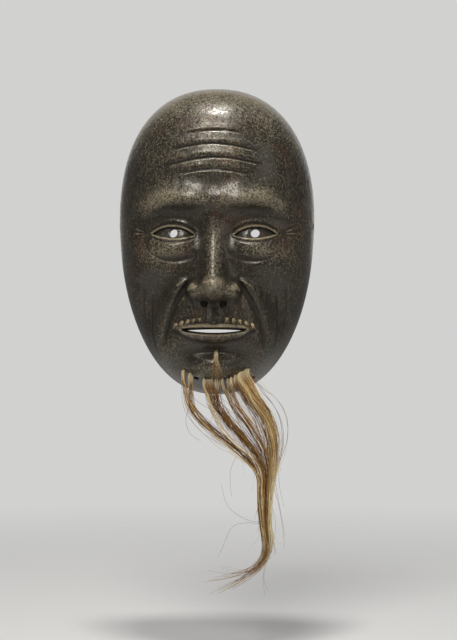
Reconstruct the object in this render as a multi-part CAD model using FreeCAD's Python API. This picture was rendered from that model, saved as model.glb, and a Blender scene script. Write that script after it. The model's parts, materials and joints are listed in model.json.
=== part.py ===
"""A carved wooden noh mask of a calm old man, with horsehair set into the chin and the upper lip.

Units are millimetres. +Z is up, +X is to the right of someone facing the mask, and the face looks
along -Y. The origin is the centre of the flat back rim, halfway up the mask, so the rim lies on the
plane y = 0 and the wood lies in front of it, at negative y. "Depth" below means the distance
forward of the rim plane, which is -y.
"""
import FreeCAD
import Part

import math
import os

from FreeCAD import Vector

# ---------------------------------------------------------------- driving dimensions
MASK_HEIGHT = 208.0
MASK_WIDTH = 132.0
DOME_DEPTH = 52.0            # depth of the plain dome that the features are carved on
WALL = 8.2                   # thickness of the wood at the rim
EYE_WIDTH = 27.0             # the face is five eye widths across
FACE_THIRD = 60.0            # hairline to brow, brow to nose base, nose base to chin
CHIN_Z = -98.0               # lowest front point of the chin

PUPIL_RADIUS = 3.0
NOSTRIL_RADIUS = 2.6
MOUTH_HALF_WIDTH = 18.0
MOUTH_HALF_GAP = 1.1
CORD_HOLE_RADIUS = 2.6
CORD_HOLE_Z = 10.0
CORD_HOLE_DEPTH = 13.0       # from the rim plane to the middle of the cord hole

SOCKET_RADIUS = 1.8          # drilled holes that hold the chin hair
SOCKET_SLOPE = 35.0          # degrees that a socket rises on its way in
SOCKET_FIT = 0.25            # radial room round the hair and the pegs
HAIR_IN_SOCKET = 8.0         # how far the hair goes into its socket
PEG_PROUD = 1.0              # how far the pegs stand out into the hollow
LIP_SOCKET_RADIUS = 0.9
LIP_SOCKET_DEPTH = 3.5
STUB_LENGTH = 5.0            # how far a moustache stub stands out of the lip

CHIN_HINGE_Z = -98.0         # height at which the beard starts to swing
CHIN_HINGE_DEPTH = 51.0
CHIN_HINGE_GAP = 2.2         # room above and below the hinge line
LOCK_X = 34.0                # the beard is swept to the right and gathers here
LOCK_HINGE_Z = -159.0        # height at which the gathered lock starts to sway
LOCK_HINGE_GAP = 2.4
TIP_X = 35.0
TIP_HINGE_Z = -201.0         # height at which the curled tip starts to flick
TIP_HINGE_GAP = 1.7
TIP_END_X = -7.0
TIP_END_Z = -231.0
LIP_HINGE_RISE = 4.6         # drop from the lip tuft's root to its hinge line
LIP_HINGE_GAP = 1.3
LIP_TUFT_END_Z = -97.0
TUFT_RADIUS = 1.55
TUFT_RADIUS_LOCK = 1.1
TUFT_RADIUS_TIP = 0.62
TUFT_RADIUS_END = 0.3
LOCK_PITCH_X = 2.75          # spacing of the ten tufts inside the gathered lock
LOCK_PITCH_Y = 3.1
LOCK_SPREAD_LOW = 0.62       # share of that spacing left where the tip starts
LOCK_SPREAD_END = 0.38       # and at the very end

SURFACE_COLUMNS = 89
SURFACE_ROWS = 121
HEIGHT_POWER = 2.25
SECTION_POWER = 2.3
EGG_TAPER = 0.10             # how much wider the forehead is than the jaw
SHOULDER_POWER = 1.6

# ---------------------------------------------------------------- derived landmarks
HALF_HEIGHT = MASK_HEIGHT / 2
HALF_WIDTH = MASK_WIDTH / 2
NOSE_BASE_Z = CHIN_Z + FACE_THIRD - 3.0
BROW_Z = NOSE_BASE_Z + FACE_THIRD + 6.5
EYE_X = EYE_WIDTH
EYE_Z = 3.0
MOUTH_Z = NOSE_BASE_Z - FACE_THIRD / 3 + 0.5
OUTER = (HALF_HEIGHT, HALF_WIDTH, DOME_DEPTH)
INNER = (HALF_HEIGHT - WALL, HALF_WIDTH - WALL, DOME_DEPTH - WALL)


def smooth(t):
    """0 below 0, 1 above 1, and an S curve between."""
    t = min(max(t, 0.0), 1.0)
    return t * t * (3.0 - 2.0 * t)


def bump(x, z, centre_x, centre_z, radius_x, radius_z):
    """A round bell of height 1."""
    return math.exp(-((x - centre_x) / radius_x) ** 2 - ((z - centre_z) / radius_z) ** 2)


def firm_bump(x, z, centre, radii, power):
    """A bell with a flatter top and steeper sides."""
    reach = ((x - centre[0]) / radii[0]) ** 2 + ((z - centre[1]) / radii[1]) ** 2
    return math.exp(-reach ** power)


def soft_max(a, b, blend):
    """The larger of two heights, with the corner between them rounded."""
    share = min(max(0.5 + 0.5 * (a - b) / blend, 0.0), 1.0)
    return b + (a - b) * share + blend * share * (1.0 - share)


# ---------------------------------------------------------------- the plain dome
def dome_section(z, size):
    """Half width and depth of the dome at height z."""
    half_height, half_width, depth = size
    t = min(abs(z / half_height), 1.0)
    reach = (1.0 - t ** HEIGHT_POWER) ** (1.0 / HEIGHT_POWER)
    width = half_width * reach * (1.0 + EGG_TAPER * z / half_height)
    return width, depth * (1.0 - (1.0 - reach) ** SHOULDER_POWER)


def dome_depth(x, z, size):
    width, depth = dome_section(z, size)
    if width < 1e-6:
        return 0.0
    q = min(abs(x) / width, 1.0)
    return depth * (1.0 - q ** SECTION_POWER) ** (1.0 / SECTION_POWER)


# ---------------------------------------------------------------- the carved features
def forehead(x, z):
    temple = bump(abs(x), z, 57, 38, 13, 22)
    return 3.0 * bump(x, z, 0, 60, 38, 24) - 3.2 * temple


def brow(x, z):
    """A level ridge over each eye: soft above, sharp below."""
    side = math.hypot(x, 9.0)
    fall = 2.6 if side < EYE_X else 9.5
    height = z - (BROW_Z - fall * ((side - EYE_X) / EYE_X) ** 2)
    outer = 1.0 - smooth((abs(x) - 30) / 30)
    inner = 0.55 + 0.45 * smooth(abs(x) / 17)
    return 6.0 * outer * inner * math.exp(-(height / (10.0 if height > 0 else 4.4)) ** 2)


def eye(x, z):
    """The socket, the lidded eyeball and the slit between the lids."""
    side = abs(x)
    across = side - EYE_X
    up = z - EYE_Z - 0.035 * across
    socket = firm_bump(side, z, (EYE_X, 6.5), (18.5, 10.5), 1.25)
    corner = bump(side, z, 12.5, 5, 5.5, 8)
    ball = firm_bump(across, up, (0, 0), (15.8, 10.0), 1.45)
    open_share = max(1.0 - (across / 13.6) ** 2, 0.0)
    inside = min(4.9 * open_share ** 0.85 - up, up + 2.5 * open_share)
    slit = smooth((inside + 0.4) / 1.2)
    bag = bump(side, z, EYE_X, -9.5, 15, 4.6)
    return -7.2 * socket - 2.4 * corner + 8.4 * ball - 1.6 * slit + 2.2 * bag


def nose(x, z):
    """The bridge, the round tip and the two wings."""
    side = abs(x)
    along = min(max((14.0 - z) / 46.0, 0.0), 1.0)
    rise = (2.4 + 16.5 * along ** 1.15) * smooth((z + 42.5) / 9.5) * smooth((28 - z) / 18)
    bridge = rise * math.exp(-(side / (7.4 + 2.6 * along)) ** 2.2)
    tip = 21.5 * firm_bump(x, z, (0, -31.5), (10.6, 9.2), 1.35)
    wing = 13.0 * firm_bump(side, z, (10.8, -34.2), (6.6, 6.9), 1.5)
    return soft_max(soft_max(bridge, tip, 5.0), wing, 4.5)


def cheeks(x, z):
    side = abs(x)
    cheekbone = 5.6 * bump(side, z, 40, -15, 17, 12)
    hollow = 5.4 * bump(side, z, 42, -48, 12, 19)
    fold_t = min(max((-27.0 - z) / 42.0, 0.0), 1.0)
    fold_x = 15.0 + 17.5 * math.sin(fold_t * math.pi / 2) ** 0.9
    ends = smooth((-24 - z) / 7) * smooth((z + 74) / 16)
    offset = 0.894 * (side - fold_x)
    fold = 2.6 * math.exp(-((offset - 4.6) / 3.9) ** 2) - 1.8 * math.exp(-(offset / 2.0) ** 2)
    return cheekbone - hollow + fold * ends


def mouth(x, z):
    """The mound round the mouth, and two parted lips."""
    side = abs(x)
    line = MOUTH_Z + 1.0 * (side / 24) ** 2
    upper_share = max(1.0 - (side / 26) ** 2, 0.0)
    lower_share = max(1.0 - (side / 24) ** 2, 0.0)
    top = line + 0.8 + 5.2 * upper_share ** 0.75 - math.exp(-(side / 3.4) ** 2)
    bottom = line - 0.8 - 7.2 * lower_share ** 0.8
    upper_at = (z - (line + top) / 2 + 0.6) / ((top - line) / 2 + 0.3)
    lower_at = (z - (line + bottom) / 2 - 0.4) / ((line - bottom) / 2 + 0.3)
    upper_lip = 3.6 * max(1.0 - upper_at ** 2, 0.0) ** 0.75 * upper_share ** 0.5
    lower_lip = 4.6 * max(1.0 - lower_at ** 2, 0.0) ** 0.75 * lower_share ** 0.5
    return 4.2 * bump(x, z, 0, -57, 25, 17) + upper_lip + lower_lip


def chin(x, z):
    pad = 9.0 * firm_bump(x, z, (0, -86.5), (17, 9.5), 1.2)
    jaw = 2.6 * bump(abs(x), z, 31, -76, 12, 14)
    return pad + jaw - 3.2 * bump(x, z, 0, -74, 17, 3.6)


def carving(x, z):
    parts = (forehead, brow, eye, nose, cheeks, mouth, chin)
    return sum(part(x, z) for part in parts)


def hollow_carving(x, z):
    """The inside follows the sockets, the nose and the mouth only roughly."""
    side = abs(x)
    socket = bump(side, z, EYE_X, 5, 19, 12)
    return (
        9.5 * bump(x, z, 0, -24, 10, 19)
        + 2.5 * bump(x, z, 0, -57, 24, 14)
        - 5.5 * socket
        - 3.5 * bump(side, z, 42, -48, 14, 20)
        - 2.5 * bump(x, z, 0, -76, 20, 7)
        - 1.5 * bump(side, z, 57, 38, 14, 22)
    )


def surface_depth(x, z, size, relief):
    """Depth of a carved surface. The relief fades out towards the rim."""
    plain = dome_depth(x, z, size)
    return plain + relief(x, z) * smooth(plain / 16.0)


def face_depth(x, z):
    return surface_depth(x, z, OUTER, carving)


# ---------------------------------------------------------------- the wooden shell
def carved_face(size, relief):
    """One smooth surface from rim to rim, controlled by a net of points on the carving."""
    half_height = size[0]
    net = []
    for row in range(SURFACE_ROWS):
        angle = math.pi * (row / (SURFACE_ROWS - 1) - 0.5)
        sine = math.sin(angle)
        cosine = max(math.cos(angle), 0.0)
        norm = (cosine ** HEIGHT_POWER + abs(sine) ** HEIGHT_POWER) ** (1.0 / HEIGHT_POWER)
        z = half_height * sine / norm
        at_pole = row in (0, SURFACE_ROWS - 1)
        width = 0.0 if at_pole else dome_section(z, size)[0]
        line = []
        for column in range(SURFACE_COLUMNS):
            turn = math.pi * (1.0 - column / (SURFACE_COLUMNS - 1))
            c = math.cos(turn)
            s = max(math.sin(turn), 0.0)
            norm = (abs(c) ** SECTION_POWER + s ** SECTION_POWER) ** (1.0 / SECTION_POWER)
            x = width * c / norm
            at_rim = at_pole or column in (0, SURFACE_COLUMNS - 1)
            depth = 0.0 if at_rim else surface_depth(x, z, size, relief)
            line.append(Vector(x, -depth, z))
        net.append(line)
    surface = Part.BSplineSurface()
    surface.buildFromPolesMultsKnots(
        net,
        [4] + [1] * (SURFACE_ROWS - 4) + [4],
        [4] + [1] * (SURFACE_COLUMNS - 4) + [4],
        [float(k) for k in range(SURFACE_ROWS - 2)],
        [float(k) for k in range(SURFACE_COLUMNS - 2)],
        False,
        False,
        3,
        3,
    )
    return surface.toShape()


def rim_wire(face):
    """The closed outline that a carved face leaves on the rim plane."""
    edges = [e for e in face.Edges if not e.Degenerated and e.Length > 1.0]
    return Part.Wire(Part.__sortEdges__(edges))


def plain_shell():
    front = carved_face(OUTER, carving)
    back = carved_face(INNER, hollow_carving)
    rim = Part.makeFace([rim_wire(front), rim_wire(back)], "Part::FaceMakerBullseye")
    shell = Part.makeShell([front, back, rim])
    shell.sewShape()
    solid = Part.makeSolid(shell)
    if solid.Volume < 0:
        solid.reverse()
    return solid


def rod(start, direction, length, radius):
    return Part.makeCylinder(radius, length, start, direction)


def pupil_cutter(side):
    return rod(Vector(side * EYE_X, -80, EYE_Z + 1.0), Vector(0, 1, 0), 60, PUPIL_RADIUS)


def nostril_cutter(side):
    """Drilled from under the nose, up and back into the hollow."""
    mouth_of_hole = Vector(side * 6.2, -61.0, NOSE_BASE_Z - 4.0)
    return rod(mouth_of_hole, Vector(0, 0.78, 0.62), 34, NOSTRIL_RADIUS)


def mouth_cutter():
    """A lens-shaped slit between the lips, right through to the hollow."""
    left = Vector(-MOUTH_HALF_WIDTH, -70, MOUTH_Z + 0.4)
    right = Vector(MOUTH_HALF_WIDTH, -70, MOUTH_Z + 0.4)
    upper = Part.Arc(left, Vector(0, -70, MOUTH_Z + MOUTH_HALF_GAP), right).toShape()
    lower = Part.Arc(right, Vector(0, -70, MOUTH_Z - MOUTH_HALF_GAP), left).toShape()
    return Part.Face(Part.Wire([upper, lower])).extrude(Vector(0, 45, 0))


def cord_hole_axis(side):
    """A point on the hole's axis, and the direction square to the side wall."""
    width, depth = dome_section(CORD_HOLE_Z, OUTER)
    q = CORD_HOLE_DEPTH / depth
    x = width * (1.0 - q ** SECTION_POWER) ** (1.0 / SECTION_POWER)
    across = (x / width) ** (SECTION_POWER - 1.0) / width
    forward = q ** (SECTION_POWER - 1.0) / depth
    outward = Vector(side * across, -forward, 0).normalize()
    return Vector(side * x, -CORD_HOLE_DEPTH, CORD_HOLE_Z), outward


def cord_cutter(side):
    point, outward = cord_hole_axis(side)
    return rod(point + outward * 12, outward * -1, 30, CORD_HOLE_RADIUS)


# ---------------------------------------------------------------- where the hair is set
def chin_roots():
    """Where each chin tuft leaves the wood. A pair stands apart on the left, then a row of eight."""
    places = [-20.5, -16.0] + [-6.0 + 3.9 * step for step in range(8)]
    roots = []
    for x in places:
        z = -92.5 + 0.013 * x * x
        roots.append(Vector(x, -face_depth(x, z), z))
    return roots


def empty_sockets():
    """Two sockets that have lost their hair."""
    return [Vector(x, -face_depth(x, -91.8), -91.8) for x in (-12.2, 25.2)]


def socket_direction():
    """The way the hair leaves its socket: forward and down."""
    slope = math.radians(SOCKET_SLOPE)
    return Vector(0, -math.cos(slope), -math.sin(slope))


def lip_root():
    return Vector(1.5, -face_depth(1.5, -74.5), -74.5)


def moustache_roots(side):
    """Five small holes along the edge of the upper lip, towards the corner of the mouth."""
    roots = []
    for step in range(5):
        x = side * (8.5 + 4.1 * step)
        z = -51.6 - 0.0065 * x * x
        roots.append(Vector(x, -face_depth(x, z), z))
    return roots


def socket_cutter(root):
    outward = socket_direction()
    return rod(root + outward * 8, outward * -1, 40, SOCKET_RADIUS)


def lip_socket_cutter(root):
    return rod(root + Vector(0, -3, 0), Vector(0, 1, 0), LIP_SOCKET_DEPTH + 3, LIP_SOCKET_RADIUS)


def mask_shell():
    solid = plain_shell()
    cutters = [mouth_cutter()]
    for side in (-1, 1):
        cutters.append(pupil_cutter(side))
        cutters.append(nostril_cutter(side))
        cutters.append(cord_cutter(side))
        cutters.extend(lip_socket_cutter(root) for root in moustache_roots(side))
    for root in chin_roots() + empty_sockets() + [lip_root()]:
        cutters.append(socket_cutter(root))
    return solid.cut(Part.makeCompound(cutters))


# ---------------------------------------------------------------- hair
def hair_rod(path, radii, across):
    """A round bar of changing thickness along a path. "across" is never parallel to the path."""
    sections = []
    for index, point in enumerate(path):
        before = path[max(index - 1, 0)]
        after = path[min(index + 1, len(path) - 1)]
        tangent = (after - before).normalize()
        side = tangent.cross(across).normalize()
        turn = FreeCAD.Rotation(side, tangent.cross(side), tangent, "ZXY")
        circle = Part.makeCircle(radii[index])
        circle.Placement = FreeCAD.Placement(point, turn)
        sections.append(Part.Wire([circle]))
    return Part.makeLoft(sections, True)


def bezier(ends, t):
    """A point on a cubic Bezier curve with four control points."""
    k = 1.0 - t
    weights = (k * k * k, 3 * k * k * t, 3 * k * t * t, t * t * t)
    total = Vector(0, 0, 0)
    for weight, point in zip(weights, ends):
        total = total + point * weight
    return total


def mix(a, b, t):
    return a + (b - a) * t


def sweep_ends(index):
    """Control points of one hanging tuft, from the chin hinge to the lock hinge."""
    x = chin_roots()[index].x
    share = index / 9.0
    column = index // 2 - 2
    lock_x = LOCK_X + column * LOCK_PITCH_X
    y = -CHIN_HINGE_DEPTH
    return (
        Vector(x, y, CHIN_HINGE_Z),
        Vector(x + 24.0 * share * share, y, CHIN_HINGE_Z - 28.0 + 12.0 * share),
        Vector(lock_x + 5.0 * share, y, LOCK_HINGE_Z + 20.0 + 7.0 * share),
        Vector(lock_x, y, LOCK_HINGE_Z),
    )


def row_offset(index):
    """Odd tufts pass behind the even ones."""
    return LOCK_PITCH_Y * (index % 2 - 0.5)


def height_share(ends, z):
    """The curve parameter at which the curve comes down to height z."""
    low = 0.0
    high = 1.0
    for _ in range(40):
        middle = (low + high) / 2
        if bezier(ends, middle).z > z:
            low = middle
        else:
            high = middle
    return (low + high) / 2


def chin_tuft(index):
    ends = sweep_ends(index)
    first = height_share(ends, CHIN_HINGE_Z - CHIN_HINGE_GAP)
    last = height_share(ends, LOCK_HINGE_Z + LOCK_HINGE_GAP)
    path = []
    radii = []
    for step in range(9):
        t = mix(first, last, step / 8)
        point = bezier(ends, t)
        path.append(point + Vector(0, row_offset(index) * smooth(2.2 * t), 0))
        radii.append(mix(TUFT_RADIUS, TUFT_RADIUS_LOCK, smooth(1.3 * t)))
    return hair_rod(path, radii, Vector(0, 1, 0))


def bundle(ends, first, last, steps, spread, radius):
    """Ten bars side by side along a curve, drawing together from spread[0] to spread[1]."""
    bars = []
    for index in range(10):
        column = index // 2 - 2
        path = []
        radii = []
        for step in range(steps):
            t = mix(first, last, step / (steps - 1))
            ahead = bezier(ends, min(t + 0.01, 1.0)) - bezier(ends, max(t - 0.01, 0.0))
            aside = Vector(-ahead.z, 0, ahead.x).normalize()
            narrow = mix(spread[0], spread[1], t)
            offset = aside * (column * LOCK_PITCH_X * narrow)
            path.append(bezier(ends, t) + offset + Vector(0, row_offset(index) * narrow, 0))
            radii.append(mix(radius[0], radius[1], t))
        bars.append(hair_rod(path, radii, Vector(0, 1, 0)))
    return Part.makeCompound(bars)


def beard_lock():
    y = -CHIN_HINGE_DEPTH
    ends = (
        Vector(LOCK_X, y, LOCK_HINGE_Z),
        Vector(LOCK_X - 1.5, y, LOCK_HINGE_Z - 15),
        Vector(TIP_X - 1.5, y, TIP_HINGE_Z + 15),
        Vector(TIP_X, y, TIP_HINGE_Z),
    )
    first = height_share(ends, LOCK_HINGE_Z - LOCK_HINGE_GAP)
    last = height_share(ends, TIP_HINGE_Z + TIP_HINGE_GAP)
    spread = (1.0, LOCK_SPREAD_LOW)
    return bundle(ends, first, last, 4, spread, (TUFT_RADIUS_LOCK, TUFT_RADIUS_TIP))


def beard_tip():
    """The end of the lock curls back to the left."""
    y = -CHIN_HINGE_DEPTH
    ends = (
        Vector(TIP_X, y, TIP_HINGE_Z),
        Vector(TIP_X, y, TIP_HINGE_Z - 16),
        Vector(TIP_END_X + 25, y, TIP_END_Z + 8),
        Vector(TIP_END_X, y, TIP_END_Z),
    )
    first = height_share(ends, TIP_HINGE_Z - TIP_HINGE_GAP)
    spread = (LOCK_SPREAD_LOW, LOCK_SPREAD_END)
    return bundle(ends, first, 1.0, 12, spread, (TUFT_RADIUS_TIP, TUFT_RADIUS_END))


def socket_length(root):
    """Length of the socket from the chin's surface to the hollow behind."""
    inward = socket_direction() * -1
    length = 0.0
    point = root
    while surface_depth(point.x, point.z, INNER, hollow_carving) < -point.y:
        length += 0.1
        point = root + inward * length
    return length


def chin_root_hair(root):
    """The fixed part of a tuft: held in its socket, it comes out and reaches for the hinge line."""
    outward = socket_direction()
    end = Vector(root.x, -CHIN_HINGE_DEPTH + 1.6, CHIN_HINGE_Z + CHIN_HINGE_GAP)
    path = [root - outward * HAIR_IN_SOCKET, root - outward * 3, root + outward * 2, end]
    radii = [SOCKET_RADIUS - SOCKET_FIT] * 3 + [TUFT_RADIUS]
    return hair_rod(path, radii, Vector(1, 0, 0))


def lip_hinge():
    root = lip_root()
    drop = LIP_HINGE_RISE
    reach = drop / math.tan(math.radians(SOCKET_SLOPE))
    return root + Vector(0, -reach, -drop)


def lip_root_hair():
    root = lip_root()
    outward = socket_direction()
    end = lip_hinge() - outward * LIP_HINGE_GAP
    path = [root - outward * HAIR_IN_SOCKET, root - outward * 2, end]
    radii = [SOCKET_RADIUS - SOCKET_FIT] * 2 + [TUFT_RADIUS]
    return hair_rod(path, radii, Vector(1, 0, 0))


def tuft_roots():
    bars = [chin_root_hair(root) for root in chin_roots()]
    return Part.makeCompound(bars + [lip_root_hair()])


def lip_tuft():
    """The short tuft below the lower lip, hanging in front of the chin."""
    hinge = lip_hinge()
    top = hinge + Vector(0, -0.9, -LIP_HINGE_GAP)
    ends = (
        top,
        top + Vector(0.3, -1.6, -5),
        Vector(3.0, top.y - 2.2, LIP_TUFT_END_Z + 7),
        Vector(5.0, top.y - 1.0, LIP_TUFT_END_Z),
    )
    path = [bezier(ends, step / 5) for step in range(6)]
    radii = [mix(TUFT_RADIUS - 0.1, TUFT_RADIUS_END, step / 5) for step in range(6)]
    return hair_rod(path, radii, Vector(1, 0, 0))


def tuft_pegs():
    """A whittled peg behind every tuft wedges the hair in its socket."""
    outward = socket_direction()
    pegs = []
    for root in chin_roots() + [lip_root()]:
        start = root - outward * (HAIR_IN_SOCKET + 0.4)
        length = socket_length(root) + PEG_PROUD - HAIR_IN_SOCKET - 0.4
        thin = SOCKET_RADIUS - 2 * SOCKET_FIT
        peg = Part.makeCone(thin, SOCKET_RADIUS - SOCKET_FIT, length, start, outward * -1)
        pegs.append(peg)
    return Part.makeCompound(pegs)


def moustache(side):
    """Short worn stubs of hair, glued into blind holes."""
    stubs = []
    for step, root in enumerate(moustache_roots(side)):
        inner = root + Vector(0, LIP_SOCKET_DEPTH - 0.3, 0)
        length = LIP_SOCKET_DEPTH - 0.3 + STUB_LENGTH - 0.5 * step
        stubs.append(rod(inner, Vector(0, -1, 0), length, LIP_SOCKET_RADIUS - 0.1))
    return Part.makeCompound(stubs)


# ---------------------------------------------------------------- one file per piece
def write(name, shape):
    shape.exportStep("parts/" + name + ".step")


os.makedirs("parts", exist_ok=True)
write("mask_shell", mask_shell())
write("tuft_roots", tuft_roots())
write("tuft_pegs", tuft_pegs())
write("lip_tuft", lip_tuft())
write("moustache_left", moustache(-1))
write("moustache_right", moustache(1))
for number in range(10):
    write("chin_tuft_%d" % (number + 1), chin_tuft(number))
write("beard_lock", beard_lock())
write("beard_tip", beard_tip())
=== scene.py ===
import json
import math

import bmesh
import bpy
import numpy as np
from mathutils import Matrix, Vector


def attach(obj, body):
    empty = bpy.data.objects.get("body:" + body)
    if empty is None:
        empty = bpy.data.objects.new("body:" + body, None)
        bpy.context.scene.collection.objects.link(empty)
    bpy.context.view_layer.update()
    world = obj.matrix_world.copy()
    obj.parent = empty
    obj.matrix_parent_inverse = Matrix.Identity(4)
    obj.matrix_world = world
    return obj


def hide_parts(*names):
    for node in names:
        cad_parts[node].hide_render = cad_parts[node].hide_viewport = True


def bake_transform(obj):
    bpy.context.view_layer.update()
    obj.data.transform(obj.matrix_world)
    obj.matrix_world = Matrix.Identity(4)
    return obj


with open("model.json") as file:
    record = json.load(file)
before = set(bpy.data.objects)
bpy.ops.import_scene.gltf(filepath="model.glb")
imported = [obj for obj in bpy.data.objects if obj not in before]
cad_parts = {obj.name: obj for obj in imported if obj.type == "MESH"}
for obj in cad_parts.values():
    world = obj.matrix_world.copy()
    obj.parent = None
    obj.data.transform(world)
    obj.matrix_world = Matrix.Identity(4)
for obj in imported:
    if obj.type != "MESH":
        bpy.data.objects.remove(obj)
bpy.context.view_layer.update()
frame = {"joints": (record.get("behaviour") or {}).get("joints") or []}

MM = 0.001

# ---------------- dimensions, as in the CAD part
HALF_HEIGHT = 104.0
HALF_WIDTH = 66.0
DOME_DEPTH = 52.0
WALL = 8.2
HEIGHT_POWER = 2.25
SECTION_POWER = 2.3
EGG_TAPER = 0.10
SHOULDER_POWER = 1.6
OUTER = (HALF_HEIGHT, HALF_WIDTH, DOME_DEPTH)
INNER = (HALF_HEIGHT - WALL, HALF_WIDTH - WALL, DOME_DEPTH - WALL)
RELIEF_FADE = 16.0           # the carving fades out where the dome is lower than this
EYE_X = 27.0
EYE_Z = 3.0
MOUTH_Z = -60.5
PUPIL_RADIUS = 3.0
NOSTRIL_RADIUS = 2.6
MOUTH_HALF_WIDTH = 18.0
MOUTH_HALF_GAP = 1.1
CORD_HOLE_RADIUS = 2.6
CORD_HOLE_Z = 10.0
CORD_HOLE_DEPTH = 13.0
SOCKET_RADIUS = 1.8
SOCKET_SLOPE = math.radians(35.0)
HAIR_IN_SOCKET = 8.0
LIP_SOCKET_RADIUS = 0.9
LIP_SOCKET_DEPTH = 3.5
PEG_GAP = 0.4                # between the hair in a socket and its peg
PEG_PROUD = 1.0
LOCK_PITCH_Y = 3.1
TIP_END_X = -7.0
TIP_END_Z = -231.0

# where the hair bends, from the frame's joints
HINGES = {joint["name"]: [value / MM for value in joint["pos_m"]] for joint in frame["joints"]}
HAIR_Y, CHIN_HINGE_Z = HINGES["beard_swing"][1:]
LOCK_X, _, LOCK_HINGE_Z = HINGES["lock_sway"]
TIP_X, _, TIP_HINGE_Z = HINGES["tip_swing"]
LIP_HINGE = np.array(HINGES["lip_tuft_swing"])

# ---------------- dimensions of the looks only
SHELL_COLUMNS = 320
SHELL_ROWS = 440
RIM_ROUND = 0.9
SHORTEST_EDGE = 0.03         # shorter ones are dropped after the holes are cut
LOCK_PITCH_X = 2.2           # the lock's hairs lie closer than the stand-in bars of the CAD part
LINE_POINTS = 400            # on a tuft's centre line
LIP_HAIRS = 58
STUB_HAIRS = (18, 27)        # the fewest in one socket of the moustache, and one more than the most
FLOOR_Z = -275.0


# ---------------- small maths
def smooth(t):
    t = np.clip(t, 0.0, 1.0)
    return t * t * (3.0 - 2.0 * t)


def bump(x, z, cx, cz, rx, rz, power=1.0):
    return np.exp(-((((x - cx) / rx) ** 2 + ((z - cz) / rz) ** 2) ** power))


def ridge_line(offset, width):
    return np.exp(-((offset / width) ** 2))


def arch(offset, half_width):
    """1 in the middle, and down to 0 at the half width."""
    return np.clip(1.0 - (offset / half_width) ** 2, 0.0, None)


def soft_max(a, b, blend):
    share = np.clip(0.5 + 0.5 * (a - b) / blend, 0.0, 1.0)
    return b + (a - b) * share + blend * share * (1.0 - share)


def mix(a, b, t):
    return a + (b - a) * t


def unit(rows):
    """The rows, or the one vector, at length 1."""
    return rows / np.maximum(np.linalg.norm(rows, axis=-1, keepdims=True), 1e-9)


def distances(points):
    """How far along a polyline each of its points lies."""
    gaps = np.linalg.norm(np.diff(points, axis=0), axis=1)
    return np.concatenate([[0.0], np.cumsum(gaps)])


def read_off(at, stops, rows):
    """The columns of rows, which are known at the stops, at other places."""
    return np.stack([np.interp(at, stops, column) for column in rows.T], -1)


NOISE_VALUES = 4096
HASH_FACTORS = (73856093, 19349663)


def between_corners(base, share, value_at):
    """Mixes the values at the four corners of each lattice cell. base is the cell's low corner."""
    total = 0.0
    for corner in ((0, 0), (0, 1), (1, 0), (1, 1)):
        weight = np.prod(np.where(corner, share, 1.0 - share), axis=1)
        total = total + weight * value_at(base + corner)
    return total


def value_noise(x, z, cell, seed):
    """Smooth noise between -1 and 1 at each (x, z), from a seeded lattice of random values."""
    table = np.random.default_rng(seed).uniform(-1.0, 1.0, NOISE_VALUES)

    def value_at(corner):
        return table[np.bitwise_xor.reduce(corner * HASH_FACTORS, axis=1) % NOISE_VALUES]

    places = np.stack([x, z], -1) / cell
    base = np.floor(places).astype(np.int64)
    return between_corners(base, smooth(places - base), value_at)


# ---------------- the carved face
def dome_section(z, size):
    t = np.clip(np.abs(z / size[0]), 0.0, 1.0)
    reach = (1.0 - t**HEIGHT_POWER) ** (1.0 / HEIGHT_POWER)
    width = size[1] * reach * (1.0 + EGG_TAPER * z / size[0])
    return width, size[2] * (1.0 - (1.0 - reach) ** SHOULDER_POWER)


def dome_depth(x, z, size):
    width, depth = dome_section(z, size)
    q = np.clip(np.abs(x) / np.maximum(width, 1e-6), 0.0, 1.0)
    return depth * (1.0 - q**SECTION_POWER) ** (1.0 / SECTION_POWER)


# height, half length, depth and sideways shift of each furrow
FURROWS = ((43.5, 26, 0.85, 1.2), (51.5, 34, 1.05, -1.6), (60.5, 31, 1.0, 2.0), (69.5, 22, 0.8, -0.8))


def forehead(x, z):
    side = np.abs(x)
    f = 3.0 * bump(x, z, 0, 60, 38, 24) - 3.2 * bump(side, z, 57, 38, 13, 22)
    for height, half_length, cut, shift in FURROWS:
        offset = z - height - 2.2 * np.cos((x + shift) / 15.0) + 1.4 * (side / 30) ** 2
        ends = smooth((half_length - side) / 8)
        f += cut * ends * (0.5 * ridge_line(offset - 3.0, 2.0) - ridge_line(offset, 0.8))
    return f


def brow(x, z):
    side = np.hypot(x, 9.0)
    height = z - 25.5 + np.where(side < EYE_X, 2.6, 9.5) * ((side - EYE_X) / EYE_X) ** 2
    strength = 6.0 * (1.0 - smooth((np.abs(x) - 30) / 30)) * (0.55 + 0.45 * smooth(np.abs(x) / 17))
    return strength * np.where(height > 0, ridge_line(height, 10.0), ridge_line(height, 4.4))


EYE_HALF_LENGTH = 13.6
CROWS_FEET = ((0.42, 13), (0.10, 15), (-0.24, 12))      # slope and length


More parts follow.
